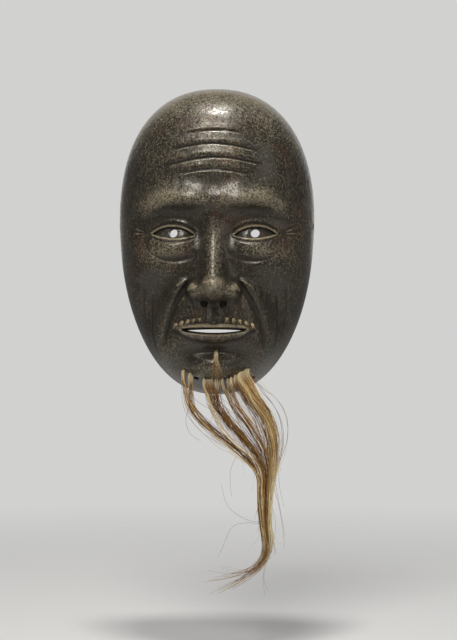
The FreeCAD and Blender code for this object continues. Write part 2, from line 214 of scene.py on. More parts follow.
def eye(x, z):
    side = np.abs(x)
    across = side - EYE_X
    up = z - EYE_Z - 0.035 * across
    f = -7.2 * bump(side, z, EYE_X, 6.5, 18.5, 10.5, 1.25) - 2.4 * bump(side, z, 12.5, 5, 5.5, 8)
    f += 8.4 * bump(across, up, 0, 0, 15.8, 10.0, 1.45)
    open_share = arch(across, EYE_HALF_LENGTH)
    inside = np.minimum(4.9 * open_share**0.85 - up, up + 2.5 * open_share)
    past_corner = np.abs(across) - EYE_HALF_LENGTH
    inside = np.where(past_corner < 0, inside, -np.hypot(past_corner, up))
    f += 0.7 * ridge_line(inside + 0.95, 0.8) - 1.8 * smooth((inside + 0.3) / 0.8)
    fold = arch(across, 16.5)
    lid_ends = smooth((16.2 - np.abs(across)) / 3)
    f -= 1.1 * ridge_line(up - 7.6 * fold**0.7, 0.8) * lid_ends
    f -= 0.55 * ridge_line(up + 5.2 * fold**0.8, 0.8) * smooth((15 - np.abs(across)) / 4)
    bag = z + 14.0 - 0.018 * (side - 26) ** 2
    f += 2.2 * bump(side, z, EYE_X, -9.5, 15, 4.6)
    f -= 1.5 * ridge_line(bag, 1.9) * np.exp(-(((side - 26) / 14) ** 4))
    beyond = side - 43
    for slope, length in CROWS_FEET:
        line = z - 4.2 - slope * beyond - 0.010 * slope * beyond**2
        f -= 0.65 * ridge_line(line, 0.65) * smooth((beyond - 0.5) / 3) * smooth((length - beyond) / 6)
    return f


def nose(x, z):
    side = np.abs(x)
    along = np.clip((14.0 - z) / 46.0, 0.0, 1.0)
    rise = (2.4 + 16.5 * along**1.15) * smooth((z + 42.5) / 9.5) * smooth((28 - z) / 18)
    f = rise * np.exp(-((side / (7.4 + 2.6 * along)) ** 2.2))
    f = soft_max(f, 21.5 * bump(x, z, 0, -31.5, 10.6, 9.2, 1.35), 6.0)
    f = soft_max(f, 12.6 * bump(side, z, 11.2, -34.0, 6.4, 6.6, 1.4), 9.0)
    crease = np.hypot(side - 10.8, (z + 34.2) * 0.95) - 7.8
    return f - 1.0 * ridge_line(crease, 1.3) * smooth((side - 12) / 4)


# each line's distance from the middle, depth, and heights of its two ends
CHEEK_LINES = ((44.0, 0.8, -34, -76), (50.0, 0.65, -28, -62))


def cheeks(x, z):
    side = np.abs(x)
    f = 5.6 * bump(side, z, 40, -15, 17, 12) - 5.4 * bump(side, z, 42, -48, 12, 19)
    t = np.clip((-27.0 - z) / 42.0, 0.0, 1.0)
    offset = 0.894 * (side - 15.0 - 17.5 * np.sin(t * math.pi / 2) ** 0.9)
    ends = smooth((-24 - z) / 7) * smooth((z + 74) / 16)
    f += (2.6 * ridge_line(offset - 4.6, 3.9) - 1.9 * ridge_line(offset, 2.0)) * ends
    for middle, cut, top, end in CHEEK_LINES:
        u = (z - top) / (end - top)
        centre = middle - 2.5 * np.cos(u * math.pi) - 9 * np.clip(u, 0, 1) ** 2
        f -= cut * ridge_line(side - centre, 0.75) * smooth(u / 0.15) * smooth((1 - u) / 0.25)
    return f


def mouth(x, z):
    side = np.abs(x)
    f = 4.2 * bump(x, z, 0, -57, 25, 17)
    philtrum = smooth((-41 - z) / 3) * smooth((z + 56.5) / 3)
    f += (0.8 * ridge_line(side - 4.0, 1.6) - 0.9 * ridge_line(side, 2.0)) * philtrum
    line = MOUTH_Z + (side / 24) ** 2
    upper = arch(side, 26)
    lower = arch(side, 24)
    top = line + 0.8 + 5.2 * upper**0.75 - ridge_line(side, 3.4)
    bottom = line - 0.8 - 7.2 * lower**0.8
    upper_at = (z - (line + top) / 2 + 0.6) / ((top - line) / 2 + 0.3)
    lower_at = (z - (line + bottom) / 2 - 0.4) / ((line - bottom) / 2 + 0.3)
    f += 3.6 * arch(upper_at, 1) ** 0.75 * upper**0.5
    f += 4.6 * arch(lower_at, 1) ** 0.75 * lower**0.5
    f -= 1.6 * bump(side, z, 26.5, -60, 2.6, 2.6)
    part = 2.1 * arch(side, 22) ** 0.7 - np.abs(z - line)
    return f - 4.5 * smooth((part + 0.8) / 1.9) * smooth((23 - side) / 3)


def chin(x, z):
    f = 9.0 * bump(x, z, 0, -86.5, 17, 9.5, 1.2) + 2.6 * bump(np.abs(x), z, 31, -76, 12, 14)
    return f - 3.2 * bump(x, z, 0, -74, 17, 3.6)


def carving(x, z):
    return sum(part(x, z) for part in (forehead, brow, eye, nose, cheeks, mouth, chin))


def hollow_carving(x, z):
    side = np.abs(x)
    f = 9.5 * bump(x, z, 0, -24, 10, 19) + 2.5 * bump(x, z, 0, -57, 24, 14)
    f -= 5.5 * bump(side, z, EYE_X, 5, 19, 12) + 3.5 * bump(side, z, 42, -48, 14, 20)
    return f - 2.5 * bump(x, z, 0, -76, 20, 7) - 1.5 * bump(side, z, 57, 38, 14, 22)


def surface_depth(x, z, size, relief):
    plain = dome_depth(x, z, size)
    return plain + relief(x, z) * smooth(plain / RELIEF_FADE)


def face_depth(x, z):
    return surface_depth(np.asarray(x, float), np.asarray(z, float), OUTER, carving)


# ---------------- mesh helpers
def linked(name, data):
    obj = bpy.data.objects.new(name, data)
    bpy.context.scene.collection.objects.link(obj)
    return obj


def mesh_object(name, verts, faces):
    """A flat-shaded object from points in mm and lists of corners."""
    mesh = bpy.data.meshes.new(name)
    mesh.from_pydata((verts * MM).tolist(), [], faces)
    return linked(name, mesh)


def coordinates(mesh):
    co = np.zeros(len(mesh.vertices) * 3, np.float32)
    mesh.vertices.foreach_get("co", co)
    return co.reshape(-1, 3).astype(float) / MM


def store(mesh, name, values):
    """Keeps one number or one colour for each point of the mesh."""
    kind, field = ("FLOAT", "value") if values.ndim == 1 else ("FLOAT_COLOR", "color")
    if values.ndim == 2:
        values = np.pad(values, ((0, 0), (0, 1)), constant_values=1.0)
    mesh.attributes.new(name, kind, "POINT").data.foreach_set(field, values.astype(np.float32).ravel())


def grid_indices(columns, rows):
    return np.arange((columns + 1) * (rows + 1)).reshape(columns + 1, rows + 1)


def rings(path, radii, sides, helper):
    """Rings of points round a path. The helper is a direction that the path never takes."""
    ahead = unit(np.gradient(path, axis=0))
    u = unit(np.cross(ahead, helper))
    v = np.cross(ahead, u)
    turn = np.linspace(0, 2 * math.pi, sides, endpoint=False)[None, :, None]
    ring = np.cos(turn) * u[:, None] + np.sin(turn) * v[:, None]
    return (path[:, None] + ring * np.asarray(radii)[:, None, None]).reshape(-1, 3)


def ring_quads(count, sides):
    """The faces between each ring and the next, as an (n, 4) array."""
    row = sides * np.arange(count - 1)[:, None]
    here = np.arange(sides)[None, :]
    after = (here + 1) % sides
    return np.stack([row + here, row + after, row + sides + after, row + sides + here], -1).reshape(-1, 4)


def closed_faces(count, sides):
    """The faces between the rings and one flat face at each end, as a list."""
    last = (count - 1) * sides
    ends = [tuple(range(sides - 1, -1, -1)), tuple(range(last, last + sides))]
    return ring_quads(count, sides).tolist() + ends


def tube(path, radii, sides):
    """A closed bar along a path given in mm: returns verts and faces."""
    path = np.asarray(path, float)
    steep = abs(unit(path[1] - path[0])[2]) > 0.9
    helper = (1.0, 0.0, 0.0) if steep else (0.0, 0.0, 1.0)
    return rings(path, radii, sides, helper), closed_faces(len(path), sides)


def join_parts(name, parts):
    """One object from several (verts, faces) pairs in mm."""
    faces, count = [], 0
    for verts, part_faces in parts:
        faces.extend(tuple(i + count for i in face) for face in part_faces)
        count += len(verts)
    return mesh_object(name, np.concatenate([verts for verts, _ in parts]), faces)


# ---------------- the wooden shell
def disc_grid(columns, rows):
    """A square grid squeezed onto the unit disc, with its outer rows closer together.

    Returns each point's angle and its share of the way to the rim."""
    a, b = np.meshgrid(np.linspace(-1, 1, columns + 1), np.linspace(-1, 1, rows + 1), indexing="ij")
    share = np.maximum(np.abs(a), np.abs(b))
    flat = np.abs(a) >= np.abs(b)
    with np.errstate(divide="ignore", invalid="ignore"):
        along_x = np.where(a >= 0, 0.0, math.pi) + (math.pi / 4) * b / a
        along_z = np.where(b >= 0, math.pi / 2, -math.pi / 2) - (math.pi / 4) * a / b
    angle = np.nan_to_num(np.where(flat, along_x, along_z))
    return angle, np.sin(math.pi / 2 * (0.72 * share + 0.28 * share**3))


def rim_point(angle, size):
    c, s = np.cos(angle), np.sin(angle)
    norm = (np.abs(c) ** HEIGHT_POWER + np.abs(s) ** HEIGHT_POWER) ** (1.0 / HEIGHT_POWER)
    z = size[0] * s / norm
    return size[1] * c / norm * (1.0 + EGG_TAPER * z / size[0]), z


def perimeter(columns, rows):
    """Grid indices of the boundary, in order round the rim."""
    index = grid_indices(columns, rows)
    return np.concatenate([index[:-1, 0], index[-1, :-1], index[:0:-1, -1], index[0, :0:-1]])


def carved_sheet(columns, rows, size, depth_at, flip):
    """Verts, quads and rim indices of the front or the hollow. flip turns the quads round."""
    angle, share = disc_grid(columns, rows)
    rim_x, rim_z = rim_point(angle, size)
    x, z = (rim_x * share).ravel(), (rim_z * share).ravel()
    verts = np.stack([x, -depth_at(x, z), z], axis=1)
    edge = perimeter(columns, rows)
    verts[edge, 1] = -RIM_ROUND
    index = grid_indices(columns, rows)
    quads = np.stack([index[:-1, :-1], index[1:, :-1], index[1:, 1:], index[:-1, 1:]], -1).reshape(-1, 4)
    return verts, quads[:, ::-1] if flip else quads, edge


def worn_face_depth(x, z):
    """The carving with the slight unevenness of hand work."""
    uneven = 0.22 * value_noise(x, z, 9.0, 3) + 0.10 * value_noise(x, z, 3.2, 4)
    return face_depth(x, z) + uneven * smooth(dome_depth(x, z, OUTER) / 12.0)


def gouged_hollow_depth(x, z):
    """The hollow with rows of shallow gouge cuts."""
    lane = (x + 2.2 * value_noise(x, z, 17.0, 8)) / 6.5
    across = np.abs(lane % 1.0 - 0.5) * 2.0
    along = np.abs((z + 9.0 * np.floor(lane)) / 19.0 % 1.0 - 0.5) * 2.0
    cuts = 0.55 * (1.0 - across**2) - 0.25 * along**2 + 0.25 * value_noise(x, z, 11.0, 9)
    return surface_depth(x, z, INNER, hollow_carving) + cuts * smooth(dome_depth(x, z, INNER) / 14.0)


def inset(ring, amount):
    """A loop on the rim plane, drawn in from the given one."""
    return ring * [1.0, 0.0, 1.0] * (1.0 - amount / np.hypot(ring[:, 0], ring[:, 2])[:, None])


def strip(a, b):
    """Quads between two loops of the same length."""
    return np.stack([a, b, np.roll(b, -1), np.roll(a, -1)], -1)


def plain_shell(columns, rows):
    """Front, hollow and rim in one closed mesh. The hollow has half as many columns and rows."""
    front, front_quads, front_edge = carved_sheet(columns, rows, OUTER, worn_face_depth, False)
    half = (columns // 2, rows // 2)
    back, back_quads, back_edge = carved_sheet(*half, INNER, gouged_hollow_depth, True)
    outer = inset(front[front_edge], RIM_ROUND)
    inner = inset(back[back_edge], -RIM_ROUND)
    verts = np.concatenate([front, back, outer, inner])
    back_quads = back_quads + len(front)
    back_edge = back_edge + len(front)
    outer_ring = len(front) + len(back) + np.arange(len(outer))
    inner_ring = len(verts) - len(inner) + np.arange(len(inner))
    even, odd, after = outer_ring[0::2], outer_ring[1::2], np.roll(outer_ring[0::2], -1)
    inner_next = np.roll(inner_ring, -1)
    flat = [(even, inner_ring, odd), (odd, inner_ring, inner_next), (odd, inner_next, after)]
    flat = np.concatenate([np.stack(corners, -1) for corners in flat])
    strips = [strip(front_edge, outer_ring), strip(inner_ring, back_edge)]
    quads = np.concatenate([front_quads, back_quads, *strips])
    return verts, quads.tolist() + flat.tolist()


FORWARD = np.array([0.0, -1.0, 0.0])
OUTWARD = np.array([0.0, -math.cos(SOCKET_SLOPE), -math.sin(SOCKET_SLOPE)])     # along the chin's sockets


def on_face(x, z):
    return np.array([x, -float(face_depth(x, z)), z])


def chin_roots():
    """Where the ten chin tufts leave the wood: a pair, a gap, and a row of eight."""
    places = [-20.5, -16.0] + [-6.0 + 3.9 * step for step in range(8)]
    return [on_face(x, -92.5 + 0.013 * x * x) for x in places]


def empty_sockets():
    return [on_face(x, -91.8) for x in (-12.2, 25.2)]


def lip_root():
    return on_face(1.5, -74.5)


def moustache_roots(side):
    places = [side * (8.5 + 4.1 * step) for step in range(5)]
    return [on_face(x, -51.6 - 0.0065 * x * x) for x in places]


def cord_hole(side):
    width, depth = dome_section(CORD_HOLE_Z, OUTER)
    q = CORD_HOLE_DEPTH / depth
    x = width * (1.0 - q**SECTION_POWER) ** (1.0 / SECTION_POWER)
    across = (x / width) ** (SECTION_POWER - 1.0) / width
    outward = np.array([side * across, -(q ** (SECTION_POWER - 1.0)) / depth, 0.0])
    return np.array([side * x, -CORD_HOLE_DEPTH, CORD_HOLE_Z]), outward / np.linalg.norm(outward)


def mouth_slit(front_y=-70.0, length=45.0, corner_rise=0.4):
    """A lens-shaped prism through the lips, with its corners a little higher than its middle."""
    turn = np.linspace(-1.0, 1.0, 41)
    curve = 1.0 - turn**2
    x = MOUTH_HALF_WIDTH * turn
    upper = MOUTH_Z + corner_rise + (MOUTH_HALF_GAP - corner_rise) * curve
    lower = MOUTH_Z + corner_rise - (MOUTH_HALF_GAP + corner_rise) * curve
    x = np.concatenate([x, x[-2:0:-1]])
    z = np.concatenate([upper, lower[-2:0:-1]])
    front = np.stack([x, np.full(len(x), front_y), z], -1)
    return np.concatenate([front, front - FORWARD * length]), closed_faces(2, len(x))


def drill(point, outward, before, beyond, radius, sides):
    """A rod that starts before a point and ends beyond it, on the way in."""
    start = point + outward * before
    return tube([start, start - unit(outward) * (before + beyond)], [radius, radius], sides)


def all_cutters():
    parts = [mouth_slit()]
    for side in (-1, 1):
        pupil = np.array([side * EYE_X, -50.0, EYE_Z + 1.0])
        parts.append(drill(pupil, FORWARD, 30, 30, PUPIL_RADIUS, 48))
        nostril = np.array([side * 6.2, -61.0, -45.0])
        parts.append(drill(nostril, np.array([0.0, -0.78, -0.62]), 0, 34, NOSTRIL_RADIUS, 32))
        parts.append(drill(*cord_hole(side), 12, 18, CORD_HOLE_RADIUS, 40))
        for root in moustache_roots(side):
            parts.append(drill(root, FORWARD, 3, LIP_SOCKET_DEPTH, LIP_SOCKET_RADIUS, 14))
    for root in chin_roots() + empty_sockets() + [lip_root()]:
        parts.append(drill(root, OUTWARD, 8, 32, SOCKET_RADIUS, 24))
    return parts


def clean_cuts(mesh):
    """Drops the shortest edges and the points between only two faces, which the cuts leave behind.

    When the exporter thins the mesh, such a point ends as an edge with four faces."""
    solid = bmesh.new()
    solid.from_mesh(mesh)
    bmesh.ops.dissolve_degenerate(solid, dist=SHORTEST_EDGE * MM, edges=solid.edges[:])
    between_two = [point for point in solid.verts if len(point.link_edges) == 2]
    bmesh.ops.dissolve_verts(solid, verts=between_two)
    solid.to_mesh(mesh)
    solid.free()


def cut_holes(shell, cutter):
    """Takes the cutter out of the shell, and leaves the shell as a plain mesh."""
    modifier = shell.modifiers.new("holes", "BOOLEAN")
    modifier.operation = "DIFFERENCE"
    modifier.object = cutter
    modifier.solver = "MANIFOLD"
    bpy.context.view_layer.update()
    graph = bpy.context.evaluated_depsgraph_get()
    mesh = bpy.data.meshes.new_from_object(shell.evaluated_get(graph))
    mesh.materials.clear()      # the modifier leaves an empty material slot
    clean_cuts(mesh)
    shell.modifiers.clear()
    shell.data = mesh
    bpy.data.objects.remove(cutter)


def blur(field, sigma):
    """Gaussian blur of a raster, sigma in cells."""
    pad = int(sigma * 3) + 1
    padded = np.pad(field, pad, mode="edge")
    offset = np.arange(-pad, pad + 1)
    kernel = np.exp(-0.5 * (offset / sigma) ** 2)
    kernel /= kernel.sum()
    for axis in (0, 1):
        padded = np.apply_along_axis(np.convolve, axis, padded, kernel, "same")
    return padded[pad:-pad, pad:-pad]


def sample(field, places):
    """A raster's values at (n, 2) places, which are counted in its cells."""
    places = np.clip(places, 0, np.array(field.shape) - 1.001)
    base = places.astype(int)
    return between_corners(base, places - base, lambda corner: field[tuple(corner.T)])


def paint_wear_and_light(mesh):
    """Point attributes for the lacquer, each 0 to 1: groove, where painted shade goes; edge, rubbed and
    with painted highlight on walls that face up; a third for the wood that stands out, rubbed and with
    painted light from above at the crown; and inside.
    """
    step = 0.4
    lows = np.array([-HALF_WIDTH - 2.0, -HALF_HEIGHT - 2.0])
    gx, gz = np.meshgrid(*(np.arange(low, 0.1 - low, step) for low in lows), indexing="ij")
    relief = carving(gx, gz) * smooth(dome_depth(gx, gz, OUTER) / RELIEF_FADE)
    maps = [relief - blur(relief, width / step) for width in (1.6, 0.55, 9.0, 3.0)]
    maps[-1] = -np.gradient(maps[-1], step, axis=1)
    co = coordinates(mesh)
    x, z, height = co[:, 0], co[:, 2], -co[:, 1]
    fine, crisp, broad, facing_up = (sample(field, (co[:, ::2] - lows) / step) for field in maps)

    above_rim = smooth((height - 19.0) / 9.0)
    # painted shade goes into the grooves: the lacquer darkens them nearly to black
    store(mesh, "groove", above_rim * np.clip(-fine / 0.55, 0, 1))
    # painted highlight: lit makes the edge lines lighter on walls that face up, where the light from above
    # falls; elsewhere they are rubbed ridges and the rim
    lit = 0.30 + 0.70 * smooth(facing_up / 0.35)
    rim = np.exp(-np.clip(height, 0, None) / 1.6)
    store(mesh, "edge", np.clip((crisp - 0.010) / 0.075 * lit * above_rim + 0.8 * rim, 0, 1))
    away_from_rim = smooth((height - 6.0) / 24.0)
    # the bloom is denser higher up the face; the crown term is partly rubbed lacquer and partly painted
    # light from above
    height_share = 0.55 + 0.45 * smooth((z + 40.0) / 70.0)
    crown = 0.45 * smooth((z - 66.0) / 28.0)
    raised_and_top_lit = (0.30 + away_from_rim * broad / 3.6) * height_share + crown
    store(mesh, "raised_and_top_lit", np.clip(raised_and_top_lit, 0, 1))
    below = np.clip(face_depth(x, z) - height - 1.5, 0.0, None)
    store(mesh, "inside", smooth(below / 1.5))


def make_shell():
    shell = mesh_object("mask_carved_shell", *plain_shell(SHELL_COLUMNS, SHELL_ROWS))
    cut_holes(shell, join_parts("cutters", all_cutters()))
    shell.data.shade_smooth()
    shell.data.set_sharp_from_angle(angle=math.radians(38))
    paint_wear_and_light(shell.data)
    return shell


# ---------------- hair
def bezier(ends, t):
    ends = np.asarray(ends, float)
    t = np.asarray(t, float)[:, None]
    k = 1.0 - t
    return k**3 * ends[0] + 3 * k * k * t * ends[1] + 3 * k * t * t * ends[2] + t**3 * ends[3]


def spline(keys, t):
    """A smooth curve through the keys, t from 0 to len(keys) - 1."""
    keys = np.asarray(keys, float)
    padded = np.concatenate([[2 * keys[0] - keys[1]], keys, [2 * keys[-1] - keys[-2]]])
    i = np.clip(np.floor(t).astype(int), 0, len(keys) - 2)
    f = (t - i)[:, None]
    p0, p1, p2, p3 = padded[i], padded[i + 1], padded[i + 2], padded[i + 3]
    a = 2 * p1 + (p2 - p0) * f
    b = (2 * p0 - 5 * p1 + 4 * p2 - p3) * f**2
    c = (3 * p1 - p0 - 3 * p2 + p3) * f**3
    return 0.5 * (a + b + c)


def resample(points, count):
    """The same polyline with evenly spaced points, and its length."""
    at = distances(points)
    return read_off(np.linspace(0, at[-1], count), at, points), at[-1]


def bundle_line(ends, column, row, spread, count):
    """One tuft's way along a stretch that all tufts share: ends are (x, z) control points."""
    t = np.linspace(0.0, 1.0, count)
    line = bezier([(x, HAIR_Y, z) for x, z in ends], t)
    ahead = np.gradient(line, axis=0)
    aside = unit(np.stack([-ahead[:, 2], np.zeros(count), ahead[:, 0]], -1))
    narrow = mix(*spread, t)[:, None]
    return line + narrow * (aside * column * LOCK_PITCH_X + np.array([0.0, row, 0.0]))


def softened(line, length, sigma):
    """The polyline with its corners rounded over about sigma mm. Its two ends stay put."""
    step = length / (len(line) - 1)
    reach = int(2.5 * sigma / step)
    weights = np.exp(-0.5 * (np.arange(-reach, reach + 1) * step / sigma) ** 2)
    weights /= weights.sum()
    padded = np.concatenate([line[:1]] * reach + [line] + [line[-1:]] * reach)
    return np.stack([np.convolve(padded[:, k], weights, "valid") for k in range(3)], -1)


def hanging_line(root, share, lock_x, row, count):
    """From the chin's hinge line to the gathered lock."""
    t = np.linspace(0.0, 1.0, count)
    ends = [
        (root[0], HAIR_Y, CHIN_HINGE_Z),
        (root[0] + 24.0 * share**2, HAIR_Y, CHIN_HINGE_Z - 28.0 + 12.0 * share),
        (lock_x + 5.0 * share, HAIR_Y, LOCK_HINGE_Z + 20.0 + 7.0 * share),
        (lock_x, HAIR_Y, LOCK_HINGE_Z),
    ]
    line = bezier(ends, t)
    line[:, 1] += row * smooth(2.2 * t)
    return line


ROOT_LIFT = np.array([0.0, -0.10, 0.15])     # the hair crowds the upper side of its socket


def tuft_centreline(index, root):
    """From inside the socket, out over the bend, down to the lock and out along the curled tip."""
    column = index // 2 - 2
    row = LOCK_PITCH_Y * (index % 2 - 0.5)
    hang = hanging_line(root, index / 9.0, LOCK_X + column * LOCK_PITCH_X, row, 22)
    lock_ends = [(LOCK_X, LOCK_HINGE_Z), (LOCK_X - 1.5, LOCK_HINGE_Z - 15)]
    lock_ends += [(TIP_X - 1.5, TIP_HINGE_Z + 15), (TIP_X, TIP_HINGE_Z)]
    lock = bundle_line(lock_ends, column, row, (1.0, 0.5), 14)
    tip_ends = [(TIP_X, TIP_HINGE_Z), (TIP_X, TIP_HINGE_Z - 16)]
    tip_ends += [(TIP_END_X + 25, TIP_END_Z + 8), (TIP_END_X, TIP_END_Z)]
    tip = bundle_line(tip_ends, column, row, (0.5, 0.08), 14)
    start = [root + ROOT_LIFT + OUTWARD * reach for reach in (-5.0, -2.0, 0.5, 3.0, 5.0)]
    line, length = resample(np.concatenate([start, hang[3:], lock[1:], tip[1:]]), LINE_POINTS)
    out_of_socket = smooth((np.linspace(0.0, length, LINE_POINTS) - 4.5) / 5.0)[:, None]
    return mix(line, softened(line, length, 2.2), out_of_socket)


HAIR_SIDES = 3
ACROSS_HAIR = (0.05, 1.0, 0.08)     # hardly any hair runs this way


def strand_mesh(name, strands):
    """Three-sided hairs, each given by its points in mm, its radii and its colours."""
    verts, colours, quads, caps, count = [], [], [], [], 0
    for points, radii, tint in strands:
        verts.append(rings(points, radii, HAIR_SIDES, ACROSS_HAIR))
        colours.append(np.repeat(tint, HAIR_SIDES, axis=0))
        quads.append(count + ring_quads(len(points), HAIR_SIDES))
        last = count + HAIR_SIDES * (len(points) - 1)
        caps += [[count + 2, count + 1, count], [last, last + 1, last + 2]]
        count += HAIR_SIDES * len(points)
    caps = np.array(caps)
    hairs = mesh_object(name, np.concatenate(verts), np.concatenate(quads).tolist() + caps.tolist())
    mesh = hairs.data
    mesh.shade_smooth()
    store(mesh, "tint", np.concatenate(colours))

    # the edges of the end faces stay sharp
    end_rings = np.zeros(count // HAIR_SIDES, bool)
    end_rings[caps // HAIR_SIDES] = True
    ends = np.zeros(len(mesh.edges) * 2, np.int32)
    mesh.edges.foreach_get("vertices", ends)
    ring = ends.reshape(-1, 2) // HAIR_SIDES
    cap_edge = (ring[:, 0] == ring[:, 1]) & end_rings[ring[:, 0]]
    mesh.attributes.new("sharp_edge", "BOOLEAN", "EDGE").data.foreach_set("value", cap_edge)
    return hairs


CREAM = np.array([0.98, 0.86, 0.56])
STRAW = np.array([0.82, 0.63, 0.31])
GOLD = np.array([0.52, 0.31, 0.10])
AMBER = np.array([0.29, 0.130, 0.030])
BROWN = np.array([0.120, 0.062, 0.027])
DARK = np.array([0.032, 0.018, 0.010])
ASH = np.array([0.30, 0.23, 0.14])
PALETTE = np.stack([DARK, BROWN, AMBER, GOLD, STRAW, CREAM])


def shade(pick):
    """A hair colour: dark brown at 0, straw at 1 and cream at 1.25."""
    return read_off(4.0 * np.clip(pick, 0.0, 1.25), range(len(PALETTE)), PALETTE)


def hair_colours(rng, distance, lock_at, tones, depth, pale_root):
    """Cream at the root, amber and brown as it hangs, golden in the lock, amber brown at the tip.

    tones is the lightness of the clump as it hangs and in the lock. depth is 1 at the back of the
    tuft and -1 at its front; hairs at the back are painted darker as painted shade, and those at
    the front lighter."""
    tone, lock_tone = tones
    # painted shade: hairs at the back of the tuft (depth above 0) are darker, those at the front lighter
    hanging = shade(0.14 + 0.62 * tone + rng.normal(0.0, 0.15) - 0.14 * depth)
    gathered = shade(lock_tone + rng.normal(0.0, 0.16) - 0.24 * depth)
    end = mix(shade(0.22 + 0.5 * lock_tone), ASH, rng.uniform(0.0, 0.25))
    paleness = 0.50 + 0.6 * tone + rng.normal(0.0, 0.30) - 0.2 * depth
    root = mix(AMBER, CREAM, np.clip(paleness, 0.0, 1.0))
    pale = pale_root * rng.uniform(0.1, 2.0)
    stops = [0.0, pale, pale + 5.0, 0.72 * lock_at, lock_at, lock_at + 36.0, lock_at + 54.0]
    return read_off(distance, stops, np.stack([root, root, hanging, hanging, gathered, gathered, end]))


# A hair is cut into pieces between these heights, where both neighbouring pieces ride on one body.
UPPER_CUTS = (LOCK_HINGE_Z + 19.0, LOCK_HINGE_Z + 39.0)
LOWER_CUTS = (TIP_HINGE_Z + 14.0, TIP_HINGE_Z + 24.0)
PIECE_POINTS = (30, 18, 18)     # above the lock, in it and at its tip
SHORTEST_PIECE = 3      # in points of the centre line


def split_strand(rng, points, radii, tint, pieces):
    """Cuts one hair at two heights of its own, and files the pieces."""
    z = points[:, 2]
    cuts = [0]
    for low, high in (UPPER_CUTS, LOWER_CUTS):
        below = np.nonzero(z < rng.uniform(low, high))[0]
        cuts.append(int(below[0]) if len(below) else len(z) - 1)
    cuts.append(len(z) - 1)
    grid = np.arange(len(z))
    for piece, count, first, last in zip(pieces, PIECE_POINTS, cuts, cuts[1:]):
        if last - first >= SHORTEST_PIECE:
            at = np.linspace(first, last, count)
            piece.append((read_off(at, grid, points), np.interp(at, grid, radii), read_off(at, grid, tint)))


# The ten tufts from left to right: a thin pair, a sparse middle and a full right side.
TUFT_HAIRS = (32, 28, 38, 34, 24, 24, 30, 62, 84, 78)
TUFT_GIRTH = (0.85, 0.85, 1.15, 1.15, 1.15, 1.15, 1.15, 1.25, 1.3, 1.25)
TUFT_PALE_ROOT = (3.0, 3.0, 1.5, 1.5, 3.5, 4.0, 3.5, 2.0, 1.5, 2.0)      # length of the pale root
TUFT_TONE = (0.30, 0.30, 0.10, 0.06, 0.10, 0.14, 0.14, 0.28, 0.34, 0.40)     # lightness as it hangs
LOCK_TONE = (0.60, 0.62, 0.56, 0.58, 0.62, 0.62, 0.64, 0.72, 0.86, 0.96)     # and in the lock
STREAMS = ((0, 1), (2, 3, 4), (5, 6), (7, 8, 9))
CLUMP_HAIRS = 9


def beard_centrelines():
    """One centre line per tuft. Neighbouring tufts draw together into four streams on the way down."""
    lines = np.stack([tuft_centreline(i, root) for i, root in enumerate(chin_roots())])
    share = np.linspace(0.0, 1.0, lines.shape[1])[None, :, None]
    pull = 0.6 * smooth((share - 0.05) / 0.16) * (1.0 - smooth((share - 0.36) / 0.14))
    for stream in STREAMS:
        members = list(stream)
        middle = lines[members].mean(axis=0, keepdims=True)
        lines[members] = mix(lines[members], middle, pull)
    return lines


class Tuft:
    """A tuft's centre line with the distance along it and two directions across it.

    free, brush and loose say, from 0 to 1 all along the line, how far a hair may wave, fan out just
    outside its socket, and stray from its clump."""

    def __init__(self, line, girth):
        self.line = line
        self.along = distances(line)
        self.total = self.along[-1]
        ahead = unit(np.gradient(line, axis=0))
        self.aside = unit(np.cross(ahead, np.array([0.0, 1.0, 0.0])))
        self.behind = np.cross(ahead, self.aside)
        if self.behind[:, 1].mean() < 0:
            self.behind = -self.behind
        self.lock_at, self.bend_at = (
            float(np.interp(0.0, height - line[:, 2], self.along)) for height in (LOCK_HINGE_Z, TIP_HINGE_Z)
        )
        stops = [0.0, 5.0, 14.0, 0.55 * self.lock_at, self.lock_at]
        stops += [self.bend_at, self.bend_at + 14.0, self.total]
        widths = [1.7, 1.7, 1.6 * girth, 2.3 * girth, 1.7, 0.95, 0.5, 0.3]
        self.envelope = np.interp(self.along, stops, widths)
        self.free = smooth((self.along - 8.0) / 22.0)
        self.brush = smooth((self.along - 4.0) / 4.0) * (1.0 - smooth((self.along - 9.0) / 12.0))
        gathering = smooth((self.along - 0.75 * self.lock_at) / (0.3 * self.lock_at))
        self.loose = self.free * (1.0 - 0.8 * gathering)


class Clump:
    """What the hairs of one clump share. bearing is its place round the tuft's centre line."""

    def __init__(self, rng, index, number, count):
        self.bearing = 2 * math.pi * (number + rng.uniform(0, 1)) / count
        self.reach = math.sqrt(rng.uniform(0.1, 1.0))
        self.drift = rng.uniform(-1.0, 1.0)
        tone = rng.uniform(-0.1, 0.95)
        self.tones = (tone + TUFT_TONE[index], 1.1 * tone - 0.44 + LOCK_TONE[index])
        self.fan = rng.normal(0, 0.35)
        self.lift_out = rng.uniform(-0.3, 1.6)
        self.wander = rng.normal(0, 1.2)
        self.wander_phase = rng.uniform(0, 2 * math.pi)
        self.depth = self.reach * math.sin(self.bearing)


